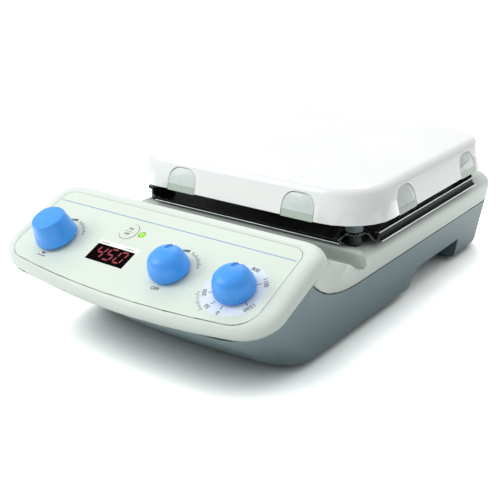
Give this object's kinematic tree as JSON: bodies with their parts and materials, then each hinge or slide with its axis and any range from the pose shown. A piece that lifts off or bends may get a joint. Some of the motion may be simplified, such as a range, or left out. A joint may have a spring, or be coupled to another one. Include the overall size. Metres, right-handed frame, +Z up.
{
  "type": "heated magnetic stirrer",
  "caption": "Low bench housing with a tilted control console and a square heated plate on posts; magnets below the plate turn a stir bar in a vessel",
  "frame": {"origin": "on the bench, under the middle of the object's overall box", "axes": "+Z up, the console faces -Y, +X to the user's right"},
  "size_m": [0.201, 0.33, 0.094],
  "materials": {
    "white_enamel": "glossy white enamel",
    "cover_plastic": "warm off-white, fine satin grain",
    "base_plastic": "grey-blue, satin",
    "knob_plastic": "bright blue, satin gloss",
    "film_plastic": "printed off-white polyester",
    "display_lens": "dark red tint, glossy",
    "indicator_lens": "clear yellow-green",
    "black_plastic": "black",
    "circuit_board": "green solder resist on glass fibre",
    "black_enamel": "glossy black",
    "dark_steel": "dark grey",
    "steel": "plain",
    "aluminium": "plain",
    "brass": "plain",
    "ceramic": "unglazed, light grey",
    "insulation": "pressed mineral fibre",
    "rubber": "matt black"
  },
  "bodies": {
    "housing": {"heating_plate": "white_enamel", "top_cover": "cover_plastic", "base_housing": "base_plastic", "control_film": "film_plastic", "display_window": "display_lens", "indicator_led": "indicator_lens", "display_module": "black_plastic", "button_switch": "black_plastic", "timer_encoder": "black_plastic", "capacitor": "black_plastic", "power_inlet": "black_plastic", "control_board": "circuit_board", "main_board": "circuit_board", "heat_shield": "black_enamel", "heater_element": "dark_steel", "motor": "dark_steel", "transformer": "dark_steel", "heater_pan": "steel", "temperature_sensor": "steel", "timer_nut": "steel", "temperature_potentiometer": "steel", "temperature_nut": "steel", "speed_potentiometer": "steel", "speed_nut": "steel", "plate_post_front_left": "steel", "plate_post_rear_left": "steel", "plate_post_front_right": "steel", "plate_post_rear_right": "steel", "housing_screw_front_left": "steel", "housing_screw_rear_left": "steel", "housing_screw_front_right": "steel", "housing_screw_rear_right": "steel", "motor_bracket": "aluminium", "heat_sink": "aluminium", "inlet_pin_left": "brass", "inlet_pin_right": "brass", "inlet_pin_earth": "brass", "rod_bush": "brass", "plate_spacer_front_left": "ceramic", "plate_spacer_rear_left": "ceramic", "plate_spacer_front_right": "ceramic", "plate_spacer_rear_right": "ceramic", "insulation_pad": "insulation", "rubber_foot_front_left": "rubber", "rubber_foot_rear_left": "rubber", "rubber_foot_front_right": "rubber", "rubber_foot_rear_right": "rubber"},
    "timer_rotor": {"timer_rotor": "brass"},
    "timer_knob": {"timer_knob": "knob_plastic", "timer_shaft": "steel"},
    "temperature_knob": {"temperature_knob": "knob_plastic", "temperature_shaft": "steel"},
    "speed_knob": {"speed_knob": "knob_plastic", "speed_shaft": "steel"},
    "power_button": {"power_button": "film_plastic"},
    "stirring_rotor": {"magnet_bar": "aluminium", "drive_magnet_left": "steel", "drive_magnet_right": "steel", "drive_shaft": "steel"},
    "fuse_drawer": {"fuse_drawer": "black_plastic"}
  },
  "joints": [
    {"name": "timer_turn", "type": "hinge", "parent": "housing", "child": "timer_rotor", "pos_m": [-0.0632, -0.13867, 0.0633], "axis": [0, -0.4067, 0.9135], "continuous": true},
    {"name": "timer_push", "type": "slide", "parent": "timer_rotor", "child": "timer_knob", "axis": [0, 0.4067, -0.9135], "range_m": [0, 0.001], "stiffness_N_per_m": 2000, "springref_m": -0.0005},
    {"name": "temperature_turn", "type": "hinge", "parent": "housing", "child": "temperature_knob", "pos_m": [0.0257, -0.13867, 0.0633], "axis": [0, -0.4067, 0.9135], "range_deg": [-140, 180]},
    {"name": "speed_turn", "type": "hinge", "parent": "housing", "child": "speed_knob", "pos_m": [0.0696, -0.13867, 0.0633], "axis": [0, -0.4067, 0.9135], "range_deg": [-118, 185]},
    {"name": "power_button_press", "type": "slide", "parent": "housing", "child": "power_button", "axis": [0, 0.4067, -0.9135], "range_m": [0, 0.0008], "stiffness_N_per_m": 1000, "springref_m": -0.0004},
    {"name": "rotor_spin", "type": "hinge", "parent": "housing", "child": "stirring_rotor", "pos_m": [0, 0.043, 0.0499], "axis": [0, 0, 1], "continuous": true},
    {"name": "fuse_drawer_slide", "type": "slide", "parent": "housing", "child": "fuse_drawer", "axis": [0, 1, 0], "range_m": [0, 0.012]}
  ]
}
